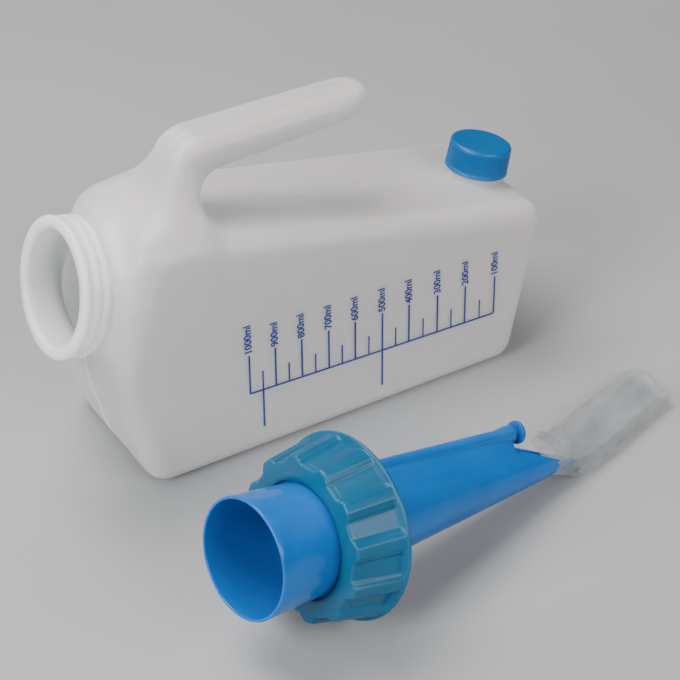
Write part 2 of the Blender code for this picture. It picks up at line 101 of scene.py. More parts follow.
def placed(points, matrix):
    """The points moved by a frame's matrix."""
    turn = np.array(matrix, float)
    return points @ turn[:3, :3].T + turn[:3, 3]


def skin(rings, loop=False, caps=True):
    """Points and quads through closed rings (m, n, 3); loop joins last to first, caps close both ends."""
    m, n = rings.shape[:2]
    index = np.arange(m * n).reshape(m, n)
    rows = np.vstack([index, index[:1]]) if loop else index
    cols = np.hstack([rows, rows[:, :1]])
    quads = np.stack([cols[:-1, :-1], cols[:-1, 1:], cols[1:, 1:], cols[1:, :-1]], -1)
    faces = quads.reshape(-1, 4).tolist()
    if caps and not loop:
        faces.append(index[0][::-1].tolist())
        faces.append(index[-1].tolist())
    return rings.reshape(-1, 3), faces


def mesh_object(name, points, faces, sharp=None):
    """A smooth-shaded mesh with its normals out; edges over sharp degrees stay sharp."""
    mesh = bpy.data.meshes.new(name)
    mesh.from_pydata([tuple(p) for p in np.asarray(points, float)], [], faces)
    bm = bmesh.new()
    bm.from_mesh(mesh)
    bmesh.ops.remove_doubles(bm, verts=bm.verts, dist=1e-7)
    bmesh.ops.recalc_face_normals(bm, faces=bm.faces)
    bm.to_mesh(mesh)
    bm.free()
    mesh.shade_smooth()
    if sharp:
        mesh.set_sharp_from_angle(angle=math.radians(sharp))
    obj = bpy.data.objects.new(name, mesh)
    bpy.context.scene.collection.objects.link(obj)
    return obj


def joined(name, parts, sharp=None):
    """One mesh object from several closed shells, each given as (points, faces)."""
    points, faces, start = [], [], 0
    for shell_points, shell_faces in parts:
        points.append(np.asarray(shell_points, float))
        faces.extend([[i + start for i in f] for f in shell_faces])
        start += len(shell_points)
    return mesh_object(name, np.vstack(points), faces, sharp=sharp)


def finish_piece(obj, body, slot, material, *nodes):
    """Gives a piece its material and body, and hides the CAD nodes it stands for; slot is not used."""
    obj.data.materials.clear()
    obj.data.materials.append(material)
    if nodes:
        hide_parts(*nodes)
    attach(obj, body)


def revolve(profile, steps, radial=None):
    """Rings of a profile of (radius, height) points; radial may change the radius by angle."""
    angle = np.arange(steps) * 2 * math.pi / steps
    rings = []
    for radius, height in profile:
        r = np.full(steps, float(radius))
        if radial is not None:
            r = radial(angle, r, height)
        rings.append(np.stack([r * np.cos(angle), r * np.sin(angle), np.full(steps, height)], -1))
    return np.array(rings)


def arc(centre_r, centre_h, radius, start, end, count):
    """Points of an arc in a turned profile; its angles are in degrees from straight out."""
    angles = np.radians(np.linspace(start, end, count))
    return [(centre_r + radius * math.cos(a), centre_h + radius * math.sin(a)) for a in angles]


def line(start, end, count):
    """Profile points from start up to but not including end."""
    return [
        (start[0] + (end[0] - start[0]) * i / count, start[1] + (end[1] - start[1]) * i / count)
        for i in range(count)
    ]


def helix_shell(radius, start, pitch, wire, steps, sides=12):
    """A thread ridge as a closed tube that fades out at both ends; it runs down from start."""
    t = np.linspace(0, 1, int(THREAD_TURNS * steps) + 1)
    angle = 2 * math.pi * THREAD_TURNS * t
    fade = np.clip(np.minimum(t, 1 - t) * THREAD_TURNS * 6, 0.12, 1) ** 0.6
    rings = []
    for k in range(sides):
        a = 2 * math.pi * k / sides
        r = radius + wire * fade * math.cos(a)
        h = start - pitch * THREAD_TURNS * t + wire * fade * math.sin(a)
        rings.append(np.stack([r * np.cos(angle), r * np.sin(angle), h], -1))
    return skin(np.array(rings).transpose(1, 0, 2))


# ---------------------------------------------------------------- the bottle's form


def side_lines():
    """The body's five faces in the side view, as (normal x, normal z, distance from the origin)."""
    shoulder_x = NECK_MOUTH.x + SHOULDER_DEPTH * math.cos(NECK_TILT)
    shoulder_z = NECK_MOUTH.z - SHOULDER_DEPTH * math.sin(NECK_TILT)
    faces = (
        (0.0, -1.0, 0.0, 0.0),
        (math.cos(BASE_LEAN), -math.sin(BASE_LEAN), HALF_LENGTH, 0.0),
        (math.sin(TOP_SLOPE), math.cos(TOP_SLOPE), HALF_LENGTH, TOP_HEIGHT),
        (-math.cos(NECK_TILT), math.sin(NECK_TILT), shoulder_x, shoulder_z),
        (-math.cos(FRONT_LEAN), -math.sin(FRONT_LEAN), -HALF_LENGTH, 0.0),
    )
    return [(nx, nz, nx * px + nz * pz) for nx, nz, px, pz in faces]


LINES = side_lines()
# The post's half width by height, and the grip's along X.
POST_HEIGHTS = (0.100, 0.108, 0.113, 0.118, 0.124, 0.1305, 0.136)
POST_WIDTHS = (0.0300, 0.0290, 0.0272, 0.0240, 0.0192, 0.0150, 0.0130)
GRIP_PLACES = (-0.050, 0.000, 0.020, 0.028, 0.034, 0.038)
GRIP_WIDTHS = (0.0130, 0.0127, 0.0126, 0.0118, 0.0102, 0.0080)


def smooth_min(a, b, k):
    """The lesser of two distances, rounded where they meet over a width k."""
    h = np.clip(k - np.abs(a - b), 0, None) / k
    return np.minimum(a, b) - h * h * k * 0.25


def smooth_max(a, b, k):
    return -smooth_min(-a, -b, k)


def half_width(x, z):
    """The body's half width, which narrows a little towards the neck and the top."""
    return 0.0417 + 0.01 * (x - HALF_LENGTH) - 0.06 * z


def eased(value, low, high):
    """0 below low, 1 above high and a smooth step between."""
    t = np.clip((value - low) / (high - low), 0, 1)
    return t * t * (3 - 2 * t)


def rounded(first, second, edge):
    """Where two distances are both inside, with a round edge between them."""
    e1, e2 = first + edge, second + edge
    outside = np.sqrt(np.clip(e1, 0, None) ** 2 + np.clip(e2, 0, None) ** 2)
    return outside - edge + np.minimum(np.maximum(e1, e2), 0)


def edge_radius(x, z):
    """Edges are tight along the body and grow soft round the shoulder behind the neck."""
    return EDGE + 0.0035 * eased(-x, 0.035, 0.075) * eased(z, 0.070, 0.105)


def side_crown(x, z):
    """The side faces' slight bulges, which the print follows."""
    return 0.00035 * np.cos(x * 16.0) * np.cos((z - 0.05) * 24.0)


def body_distance(x, y, z):
    """Distance to the wedge-shaped body: its planes, drawn in by the edge and rounded back out."""
    total = 0.0
    most = -1.0
    edge = edge_radius(x, z)
    for nx, nz, far in LINES:
        d = nx * x + nz * z - far + edge
        total = total + np.clip(d, 0, None) ** 2
        most = np.maximum(most, d)
    d = np.abs(y) - half_width(x, z) - side_crown(x, z) + edge
    total = total + np.clip(d, 0, None) ** 2
    most = np.maximum(most, d)
    return np.sqrt(total) - edge + np.minimum(most, 0)


def handle_distance(x, y, z):
    """Grip and post: planes in the side view, rounded together, with a width that swells to the foot."""
    # Each plane is its unit normal's X and Z and an offset: grip top, post front and rear, grip underside.
    top = z - 0.1457
    front = -0.8533 * x + 0.5215 * z - 0.12442
    rear = 0.9487 * x - 0.3162 * z + 0.08918
    below = 0.0475 * x - 0.9989 * z + 0.13063
    profile = smooth_max(smooth_max(front, top, 0.0075), x - 0.0374, 0.0105)
    profile = smooth_max(profile, smooth_min(below, rear, 0.011), 0.0090)
    post = np.interp(z, POST_HEIGHTS, POST_WIDTHS) - POST_WIDTHS[-1]
    width = np.interp(x, GRIP_PLACES, GRIP_WIDTHS) + post * (1 - eased(x, -0.056, -0.040))
    foot = 0.094 - z
    return rounded(np.maximum(profile, foot), np.abs(y) - width, 0.0078)


def moulding(x, y, z):
    """Body and handle blended, with the handle's foot kept flush with the body's sides."""
    form = smooth_min(body_distance(x, y, z), handle_distance(x, y, z), 0.016)
    return smooth_max(form, np.abs(y) - half_width(x, z) - 0.0012, 0.0008)


def neck_coords(x, y, z):
    """Depth behind the mouth plane, radius and angle about the wide neck's axis."""
    c, s = math.cos(NECK_TILT), math.sin(NECK_TILT)
    dx, dz = x - NECK_MOUTH.x, z - NECK_MOUTH.z
    depth = dx * c - dz * s
    up = dx * s + dz * c
    return depth, np.hypot(y, up), np.arctan2(y, up)


def rounded_disc(depth, radius, low, high, size, edge):
    return rounded(radius - size, np.maximum(low - depth, depth - high), edge)


def neck_distance(x, y, z):
    """The wide neck: barrel, thick lip and a thread ridge that fades out at both ends."""
    depth, radius, angle = neck_coords(x, y, z)
    barrel = rounded_disc(depth, radius, 0.0004, 0.032, NECK_RADIUS, 0.0004)
    lip = rounded_disc(depth, radius, 0.0, 0.0031, 0.0303, 0.0012)
    first, pitch, start = 0.0054, 0.0039, 0.05
    share = angle / (2 * math.pi) + 0.5
    turn = np.clip(np.round((depth - first) / pitch - share), 0, 1)
    place = np.clip(turn + share, start, THREAD_TURNS)
    fade = np.clip(np.minimum(place - start, THREAD_TURNS - place) * 9, 0.0, 1.0)
    ridge = np.hypot(radius - NECK_RADIUS, (depth - first - pitch * place) * 1.15)
    ridge = ridge - 0.0017 * np.sqrt(fade)
    beyond = np.abs(turn + share - place) * 2 * math.pi * NECK_RADIUS
    ridge = np.maximum(ridge, beyond - 0.001)
    return smooth_min(smooth_min(barrel, lip, 0.0008), ridge, 0.0012)


def drain_coords(x, y, z):
    """Height over the drain neck's foot, and radius about its axis."""
    c, s = math.cos(TOP_SLOPE), math.sin(TOP_SLOPE)
    dx, dz = x - DRAIN_X, z - DRAIN_FOOT
    return dx * s + dz * c, np.hypot(y, dx * c - dz * s)


def parting_line(x, y, z):
    """How far the mould's parting line stands proud: a fine bead, heavier on the front's lower face."""
    bead = 0.00022 * np.exp(-((y / 0.00045) ** 2))
    rib = 0.0011 * np.exp(-((y / 0.0011) ** 2))
    front = eased(-x, 0.094, 0.096) * eased(z, 0.006, 0.012) * (1 - eased(z, 0.050, 0.056))
    covered = eased(-x, 0.070, 0.080) * eased(z, 0.052, 0.060)
    return (bead * (1 - front) + rib * front) * (1 - covered)


def outer_distance(x, y, z):
    """The bottle's outside: body and handle, wide neck, and the drain neck with its foot bead."""
    form = moulding(x, y, z) - parting_line(x, y, z)
    form = smooth_min(form, neck_distance(x, y, z), 0.009)
    rise, radius = drain_coords(x, y, z)
    collar = rounded_disc(rise, radius, -0.004, 0.0133, 0.0116, 0.0006)
    bead = rounded_disc(rise, radius, -0.004, 0.0014, 0.0131, 0.0006)
    return smooth_min(form, smooth_min(collar, bead, 0.0006), 0.0012)


def inner_distance(x, y, z):
    """The hollow inside: the moulding drawn in by the wall, and the bores of both necks."""
    form = moulding(x, y, z) + WALL
    depth, radius, _ = neck_coords(x, y, z)
    flare = 0.0009 * np.clip(1 - depth / 0.0011, 0, 1) ** 2
    bore = np.maximum(radius - 0.0249 - flare, np.maximum(-0.004 - depth, depth - 0.03))
    form = smooth_min(form, bore, 0.010)
    rise, radius = drain_coords(x, y, z)
    drain = np.maximum(radius - 0.0094, np.maximum(-0.006 - rise, rise - 0.02))
    return smooth_min(form, drain, 0.0008)


def surface_net(distance, xs, ys, zs):
    """A quad mesh of distance = 0 on a grid whose spacing may vary, pulled onto the surface."""
    gx, gy, gz = np.meshgrid(xs, ys, zs, indexing="ij")
    f = distance(gx, gy, gz)
    del gx, gy, gz
    inside = f < 0
    shape = tuple(n - 1 for n in f.shape)
    total = np.zeros((*shape, 3))
    count = np.zeros(shape)
    quads = []
    grids = (xs, ys, zs)
    edges = []
    # Each grid edge that crosses the surface adds its crossing point to the four cells round it.
    for axis in range(3):
        a = [slice(None)] * 3
        b = [slice(None)] * 3
        a[axis] = slice(0, -1)
        b[axis] = slice(1, None)
        cross = np.argwhere(inside[tuple(a)] != inside[tuple(b)])
        step = np.zeros(3, int)
        step[axis] = 1
        f0 = f[tuple(cross.T)]
        f1 = f[tuple((cross + step).T)]
        t = f0 / (f0 - f1)
        point = np.stack([grids[k][cross[:, k]] for k in range(3)], -1)
        gap = grids[axis][cross[:, axis] + 1] - grids[axis][cross[:, axis]]
        point[:, axis] += t * gap
        edges.append((axis, cross, f0 < 0))
        others = [k for k in range(3) if k != axis]
        for i in (0, 1):
            for j in (0, 1):
                cell = cross.copy()
                cell[:, others[0]] -= i
                cell[:, others[1]] -= j
                good = ((cell >= 0) & (cell < shape)).all(1)
                np.add.at(total, tuple(cell[good].T), point[good])
                np.add.at(count, tuple(cell[good].T), 1)
    number = np.full(shape, -1)
    used = count > 0
    number[used] = np.arange(used.sum())
    points = total[used] / count[used][:, None]
    # Each such edge makes one quad through the points of its four cells, facing out.
    for axis, cross, solid_first in edges:
        u, v = (axis + 1) % 3, (axis + 2) % 3
        corners = []
        for i, j in ((1, 1), (0, 1), (0, 0), (1, 0)):
            cell = cross.copy()
            cell[:, u] -= i
            cell[:, v] -= j
            corners.append(number[tuple(cell.T)])
        face = np.stack(corners, -1)
        face[~solid_first] = face[~solid_first][:, ::-1]
        quads.append(face)
    for _ in range(3):
        points = pulled(distance, points)
    return points, np.vstack(quads).tolist()


def pulled(distance, points):
    """The points moved along the gradient to where distance is zero."""
    h = 0.00005
    reach = 0.0008
    x, y, z = points.T
    f = distance(x, y, z)
    gradient = np.stack(
        [
            distance(x + h, y, z) - distance(x - h, y, z),
            distance(x, y + h, z) - distance(x, y - h, z),
            distance(x, y, z + h) - distance(x, y, z - h),
        ],
        -1,
    ) / (2 * h)
    size = np.clip((gradient**2).sum(1), 0.2, None)
    step = np.clip(f / size, -reach, reach)
    return points - gradient * step[:, None]


def make_bottle(material):
    """The bottle, on a grid that is finer along X round the neck's thread and across the parting line."""
    near, far, cross = ((0.0009, 0.0017, 0.00155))
    xs = np.concatenate([np.arange(-0.1303, -0.0975, near), np.arange(-0.0972, 0.1165, far)])
    half = np.concatenate([np.arange(0.0002, 0.0019, 0.0004), np.arange(0.0024, 0.0455, cross)])
    ys = np.concatenate([-half[::-1], half])
    zs = np.arange(-0.0031, 0.1502, cross)
    outside = mesh_object("outside", *surface_net(outer_distance, xs, ys, zs))
    inside = mesh_object("inside", *surface_net(inner_distance, xs, ys, zs))
    cut = outside.modifiers.new("hollow", "BOOLEAN")
    cut.operation = "DIFFERENCE"
    cut.solver = "MANIFOLD"
    cut.object = inside
    bpy.context.view_layer.update()
    graph = bpy.context.evaluated_depsgraph_get()
    mesh = bpy.data.meshes.new_from_object(outside.evaluated_get(graph))
    mesh.shade_smooth()
    mesh.set_sharp_from_angle(angle=math.radians(50))
    mesh.name = "bottle_body"
    for helper in (outside, inside):
        bpy.data.objects.remove(helper, do_unlink=True)
    bottle = bpy.data.objects.new("bottle_body", mesh)
    bpy.context.scene.collection.objects.link(bottle)
    finish_piece(bottle, "bottle", "frosted_polyethylene", material, "bottle_shell")


def make_drain_thread(material):
    points, faces = helix_shell(0.0117, 0.0105, DRAIN_PITCH, 0.0007, steps=60)
    obj = mesh_object("drain_neck_thread", placed(points, drain_frame()), faces)
    finish_piece(obj, "bottle", "frosted_polyethylene", material)


# ---------------------------------------------------------------- the printed scale


# Where the 100 ml marks stand along X, from 1000 ml down; they close up where the body is taller.
TICKS = (-0.0457, -0.0329, -0.0198, -0.0062, 0.0073, 0.0214, 0.0354, 0.0506, 0.0656, 0.0817)


def base_line(x):
    """Height of the scale's base line, which slopes down towards the base end."""
    return 0.0291 - 0.033 * (x - 0.0741)


def print_point(x, z):
    """A point of the side face that carries the print."""
    return (x, -half_width(x, z) - side_crown(x, z), z)


def printed_bar(start, end, width):
    """One printed line as a thin raised bar that follows the side face; its foot is in the wall."""
    foot, face = -0.0002, 0.00006
    start, end = np.array(start), np.array(end)
    along = end - start
    length = np.linalg.norm(along)
    along /= length
    across = np.array([-along[1], along[0]]) * width / 2
    count = max(2, int(length / 0.004) + 1)
    rings = []
    for i in range(count):
        centre = start + along * length * i / (count - 1)
        ring = []
        for side, lift in ((-1, foot), (1, foot), (1, face), (-1, face)):
            x, z = centre + across * side
            px, py, pz = print_point(x, z)
            ring.append((px, py - lift, pz))
        rings.append(ring)
    return skin(np.array(rings))


def numeral(text, x, z, height):
    """Printed figures that read upwards, standing on the end of a long mark."""
    curve = bpy.data.curves.new("figures", "FONT")
    curve.body = text
    curve.size = height * 1.42
    curve.space_character = 0.98
    curve.align_x = "LEFT"
    curve.align_y = "CENTER"
    curve.extrude = 0.0001
    curve.offset = 0.00012
    curve.resolution_u = 3
    obj = bpy.data.objects.new("figures", curve)
    bpy.context.scene.collection.objects.link(obj)
    bpy.context.view_layer.update()
    mesh = bpy.data.meshes.new_from_object(obj.evaluated_get(bpy.context.evaluated_depsgraph_get()))
    points = np.array([v.co for v in mesh.vertices])
    faces = [list(p.vertices) for p in mesh.polygons]
    bpy.data.objects.remove(obj, do_unlink=True)
    on_side = []
    for u, v, w in points:
        px, py, pz = print_point(x - v, z + u)
        on_side.append((px, py - (0.00006 if w > 0 else -0.0001), pz))
    return np.array(on_side), faces


def make_scale(material):
    """Base line, ten long marks with their figures, nine short marks and two level lines below."""
    thick, thin = 0.0009, 0.00075
    shells = []
    left, right = TICKS[0], TICKS[-1]
    shells.append(printed_bar((left, base_line(left)), (right, base_line(right)), thick))
    for i, x in enumerate(TICKS):
        z = base_line(x)
        shells.append(printed_bar((x, z), (x + 0.0006, z + 0.0192), thick))
        label = f"{1000 - 100 * i}ml"
        shells.append(numeral(label, x + 0.0006, z + 0.0200, 0.0035))
    for a, b in zip(TICKS, TICKS[1:]):
        x = (a + b) / 2
        z = base_line(x)
        shells.append(printed_bar((x, z), (x + 0.0003, z + 0.0096), thin))
    for x, drop in (((TICKS[0] + TICKS[1]) / 2, 0.0192), (TICKS[5], 0.0185)):
        z = base_line(x)
        shells.append(printed_bar((x, z), (x - 0.0006, z - drop), thick))
    scale = joined("volume_scale", shells, sharp=30)
    finish_piece(scale, "bottle", "frosted_polyethylene", material)


# ---------------------------------------------------------------- drain cap


def make_cap(material):
    """The drain cap: finely ribbed side, round top edge and the thread inside."""
    ribs = 108

    def grooved(angle, radius, height):
        low, high = 0.0044, 0.0146
        share = np.clip(min(height - low, high - height) / 0.0006, 0, 1)
        wave = np.abs(np.sin(angle * ribs / 2))
        return radius - 0.00042 * share * (1 - wave**0.8)

    foot, top = CAP_FOOT, CAP_TOP
    outer = [(0.0, top - 0.0004), (0.004, top - 0.0004), (0.0088, top - 0.00035)]
    outer += [(0.0109, top - 0.00012), (0.0118, top)]
    outer += arc(0.0128, top - 0.0014, 0.0014, 90, 8, 8)
    outer += line((0.01422, top - 0.0016), (0.01446, foot + 0.0014), 14)
    outer += [(0.01446, foot + 0.0014), (0.01462, foot + 0.0011), (0.01466, foot + 0.0007)]
    outer += arc(0.0144, foot + 0.0003, 0.0003, 0, -90, 4)
    inner = arc(0.0135, foot + 0.0003, 0.0003, -90, -180, 4)
    inner += [(0.0132, foot + 0.0012), (0.0132, CAP_CEILING), (0.0, CAP_CEILING)]
    body = skin(revolve(outer + inner, ribs * 8, grooved), caps=False)
    thread = helix_shell(0.0133, 0.0120, DRAIN_PITCH, 0.0007, steps=48, sides=8)
    shells = [(placed(points, drain_frame()), faces) for points, faces in (body, thread)]
    cap = joined("screw_cap", shells, sharp=50)
    finish_piece(cap, "drain_cap", "cap_polypropylene", material, "drain_cap")


def make_liner(material):
    """The sealing disc under the cap's ceiling."""
    high = CAP_TOP - 0.0014 - 0.0003
    low = high - 0.0008
    profile = [(0.0, high), *arc(0.0124, high - 0.0002, 0.0002, 90, 0, 4)]
    profile += [*arc(0.0124, low + 0.0002, 0.0002, 0, -90, 4), (0.0115, low)]
    profile += [(0.0112, low + 0.0001), (0.0, low + 0.0001)]
    points, faces = skin(revolve(profile, 96), caps=False)
    obj = mesh_object("cap_liner", placed(points, drain_frame()), faces, sharp=40)
    finish_piece(obj, "drain_cap_seal", "liner_foam", material, "drain_cap_liner")


# ---------------------------------------------------------------- funnel insert


def evenly(station, span, values):
    """A value that runs evenly from the first to the second over a span of stations."""
    return values[0] + (station - span[0]) / (span[1] - span[0]) * (values[1] - values[0])


def tube_radius(station):
    return evenly(station, TUBE_SPAN, TUBE_RADII)


def cut_station(angle):
    """Where the oblique cut ends the tube, by angle from the vent side."""
    start, slope, last = 0.1465, math.tan(math.radians(21.6)), 0.1868
    # The radius at the cut depends on the station, so the two are brought together in small steps.
    station = np.full_like(angle, 0.170)
    for _ in range(40):
        across = tube_radius(station) * np.cos(angle)
        target = start + (tube_radius(start) - across) / slope
        station = station + 0.6 * (np.minimum(target, last) - station)
    return station


def funnel_shell():
    """Outer and inner wall of the collar, flange and tapering tube, ended by the oblique cut."""
    steps = 192
    angle = np.arange(steps) * 2 * math.pi / steps
    end = cut_station(angle)
    wall = TUBE_WALL
    foot, base = TUBE_SPAN[0], TUBE_RADII[0]
    edge = 0.0003
    outer = [(0.02395, 0.0), (0.0243, 0.00005), (0.02455, 0.00025), (0.02465, 0.0006)]
    outer += line((0.02465, 0.0006), (0.0228, 0.0303), 12)
    outer += [(0.0228, 0.0303), (0.0231, 0.0309), (0.0236, 0.0311), (0.0300, 0.0311)]
    outer += arc(0.0306, 0.0315, 0.0004, -90, 0, 4)
    outer += arc(0.0306, 0.0329, 0.0004, 0, 90, 4)
    outer += [(0.0300, 0.0333), (0.0234, 0.0333), (0.0226, 0.0336), (0.0223, 0.0343)]
    outer += line((0.0223, 0.0343), (base, foot), 10)
    inner = [(0.02365, 0.00003), (0.02345, 0.0002), (0.0234, 0.0006)]
    inner += line((0.0234, 0.0006), (0.0216, 0.0311), 12)
    inner += line((0.0216, 0.0311), (base - wall, foot), 10)

    def ring(radius, station):
        radius = np.broadcast_to(radius, angle.shape)
        station = np.broadcast_to(station, angle.shape)
        return np.stack([radius * np.cos(angle), radius * np.sin(angle), station], -1)

    rows = [ring(r, s) for r, s in outer]
    count = 130
    stations = [foot + (end - 0.0002 - foot) * i / count for i in range(count + 1)]
    rows += [ring(hull_radius(station, angle), station) for station in stations]
    rows.append(ring(tube_radius(end) - edge, end))
    rows.append(ring(tube_radius(end) - wall + edge, end))
    rows += [ring(tube_radius(station) - wall, station) for station in reversed(stations)]
    rows += [ring(r, s) for r, s in reversed(inner)]
    return skin(np.array(rows), loop=True)


def pipe_rise(station):
    return evenly(station, PIPE_SPAN, PIPE_RISE)


def pipe_shell():
    """The vent pipe, flared at its open end, with a bore that stops short of its closed end."""
    length = 0.1056
    outer = [(0.0019, 0.0), *arc(0.0035, -0.0003, 0.0003, 90, 0, 4)]
    outer += [(0.0039, -0.0012), (0.00385, -0.0026), (0.0036, -0.0052), (0.0032, -0.0078)]
    outer += line((0.0030, -0.0095), (0.0030, -length + 0.002), 24)
    outer += [(0.0030, -length + 0.002), (0.0024, -length + 0.0006), (0.0, -length)]
    inner = [(0.0, -length + 0.010), (0.0017, -length + 0.010), (0.0017, -0.001)]
    return skin(revolve(inner + outer, 40), caps=False)


def hull_radius(station, angle):
    """Outer radius of the tube with the flat flanks that run up to the vent pipe."""
    radius = tube_radius(station)
    rise = pipe_rise(station)
    lean = np.arccos(np.clip((radius - 0.0021) / rise, 0, 1))
    turn = np.abs((angle + math.pi) % (2 * math.pi) - math.pi)
    flank = np.minimum(radius / np.cos(np.clip(lean - turn, 0, 1.2)), rise + 0.0003)
    reach = eased(station, 0.052, 0.060) * (1 - eased(station, 0.1430, 0.1449))
    return np.where(turn < lean, radius + (flank - radius) * reach, radius)


def web_shell():
    """The fin under the vent pipe, with rounded flanks where it meets the tube."""
    rows = []
    for station in np.linspace(0.043, 0.1446, 40):
        top = pipe_rise(station) - 0.0015
        foot = tube_radius(station) - 0.0008 if station > TUBE_SPAN[0] else 0.0180
        foot = min(foot, top - 0.0004)
        height = top - foot
        ring = []
        for side in (-1, 1):
            levels = (0, 0.35, 0.7, 1.0) if side < 0 else (1.0, 0.7, 0.35, 0)
            for level in levels:
                half = 0.0009 + 0.0011 * (1 - level) ** 2
                ring.append((foot + height * level, side * half, station))
        rows.append(ring)
    return skin(np.array(rows))


def make_funnel(material):
    """Tube, vent pipe and fin as one piece of closed shells."""
    insert, pipe = insert_frame(), pipe_frame()
    solids = ((funnel_shell(), insert), (pipe_shell(), pipe), (web_shell(), insert))
    shells = [(placed(points, matrix), faces) for (points, faces), matrix in solids]
    funnel = joined("funnel_tube", shells, sharp=45)
    finish_piece(funnel, "insert", "funnel_polypropylene", material, "funnel")


def make_vent_disc(material):
    """The plug at the vent pipe's end: a disc with a stem down the bore."""
    face, back = 0.0026, 0.0044
    profile = [(0.0, back - 0.00025), (0.0034, back - 0.0002), (0.0040, back)]
    profile += arc(0.0045, back - 0.0005, 0.0005, 90, 0, 5)
    profile += arc(0.0047, face + 0.0003, 0.0003, 0, -90, 4)
    profile += [(0.0022, face), (0.0015, face - 0.0003), (0.0013, face - 0.0008)]
    profile += [(0.0013, face - 0.0115), (0.0010, face - 0.012), (0.0, face - 0.012)]
    points, faces = skin(revolve(profile, 64), caps=False)
    disc = mesh_object("vent_plug", placed(points, pipe_frame()), faces, sharp=50)
    finish_piece(disc, "vent_disc", "vent_disc_polypropylene", material, "vent_disc")


def make_gasket(material):
    """The sealing ring behind the flange."""
    low, high = 0.0336, 0.0354
    profile = arc(0.0302, high - 0.0004, 0.0004, 90, 0, 5)
    profile += arc(0.0302, low + 0.0004, 0.0004, 0, -90, 5)
    profile += arc(0.0233, low + 0.0004, 0.0004, 270, 180, 5)
    profile += arc(0.0233, high - 0.0004, 0.0004, 180, 90, 5)
    points, faces = skin(revolve(profile, 128), loop=True)
    obj = mesh_object("neck_gasket", placed(points, insert_frame()), faces)
    finish_piece(obj, "insert", "gasket_silicone", material, "flange_gasket")


def make_ring(material):
    """The clamp ring: a flared nut with raised ribs, a round back lip and an inner thread."""
    front, back, lip = 0.0285, 0.052, 0.0502
    count = 12

    def scalloped(angle, radius, height):
        phase = ((angle + math.radians(7)) * count / (2 * math.pi)) % 1.0
        near = np.minimum(phase, 1 - phase) * 2
        share = (height - front) / (lip - front)
        depth = (0.0030 - 0.0006 * share) * np.clip((lip + 0.0003 - height) / 0.0009, 0, 1)
        broad = 1 / (1 + np.exp((near - 0.50) / 0.035))
        narrow = 1 / (1 + np.exp((near - 0.30) / 0.03))
        dish = 0.18 * np.cos(near * math.pi / 2) ** 2
        rib = 0.50 * broad + 0.34 * narrow + dish * (1 - narrow) * 0.9
        rib = np.clip(rib + 0.16 * narrow, 0, 1)
        lift = np.clip((radius - 0.0275) / 0.004, 0, 1)
        return radius - depth * (1 - rib) * lift

    outer = [(0.0240, front + 0.0003), (0.0243, front), (0.0262, front)]
    outer += line((0.0262, front), (0.0325, front), 6)
    outer += arc(0.0327, front + 0.0013, 0.0013, -90, -5, 8)
    outer += line((0.0341, front + 0.0016), (0.0374, lip - 0.0006), 22)
    outer += [(0.0374, lip - 0.0006), (0.0375, lip - 0.0001), (0.0378, lip + 0.0001)]
    outer += arc(0.0376, lip + 0.0009, 0.0009, -70, 90, 10)
    inner = [(0.0368, back), (0.0340, back), (0.0322, back - 0.0002), (0.0316, back - 0.0008)]
    inner += line((0.0316, back - 0.0008), (0.0316, front + 0.0026), 10)
    inner += [(0.0316, front + 0.0026), (0.0313, front + 0.0023), (0.0262, front + 0.0023)]
    inner += [(0.0243, front + 0.0023), (0.0240, front + 0.0020)]
    steps = 576
    rings = np.concatenate([revolve(outer, steps, scalloped), revolve(inner, steps)])
    body = skin(rings, loop=True)
    thread = helix_shell(0.0319, 0.0475, 0.0038, 0.0014, steps=90)
    shells = [(placed(points, insert_frame()), faces) for points, faces in (body, thread)]
    ring = joined("clamp_nut", shells, sharp=50)
    finish_piece(ring, "clamp_ring", "ring_polyethylene", material, "clamp_ring")


# ---------------------------------------------------------------- film sleeve


FILM_LENGTH = 0.0925
FILM_ROUND = 0.0610
FILM_WALL = 0.00012
# The sleeve's middle line from the tube to its open end: x, y, z and heading in degrees.
FILM_ROUTE = (
    (0.0470, -0.1221, 0.0137, 8.3),
    (0.0600, -0.1199, 0.0107, 10.0),
    (0.0730, -0.1164, 0.0080, 14.5),
    (0.0870, -0.1108, 0.0050, 18.5),
    (0.1020, -0.1048, 0.0034, 18.5),
    (0.1180, -0.0994, 0.0030, 17.5),
    (0.1340, -0.0944, 0.0030, 17.0),
)
# Between which of the tube's stations the sleeve begins, by angle round the oblique cut.
FILM_START = (0.1580, 0.1800)


def even_loop(corners, count):
    """Points at equal steps round a closed polygon of (across, up) corners."""
    loop = np.array([*corners, corners[0]], float)
    lengths = np.concatenate([[0], np.cumsum(np.linalg.norm(np.diff(loop, axis=0), axis=1))])
    at = np.arange(count) / count * lengths[-1]
    return np.stack([np.interp(at, lengths, loop[:, k]) for k in range(2)], -1)


def film_section(wide, u):
    """The flattened sleeve's outline: the far edge starts high beside the cut and sinks to the floor."""
    far = 0.0030 + 0.0162 * (1 - u) ** 1.6
    near = 0.0072 + 0.0020 * (1 - u) + 0.0060 * (1 - float(eased(u, 0.0, 0.30)))
    return [
        (wide, far),
        (wide * 0.74, far + 0.0016 + 0.0008 * math.sin(u * 9)),
        (wide * 0.30, max(far * 1.04, near * 0.90)),
        (-wide * 0.30, max(far * 0.86, near * 0.97)),
        (-wide * 0.88, near),
        (-wide, near * 0.80),
        (-wide * 0.98, -0.0002),
        (0.0, -0.0005),
        (wide * 0.34, 0.0002),
        (wide * 0.74, far * 0.36),
    ]


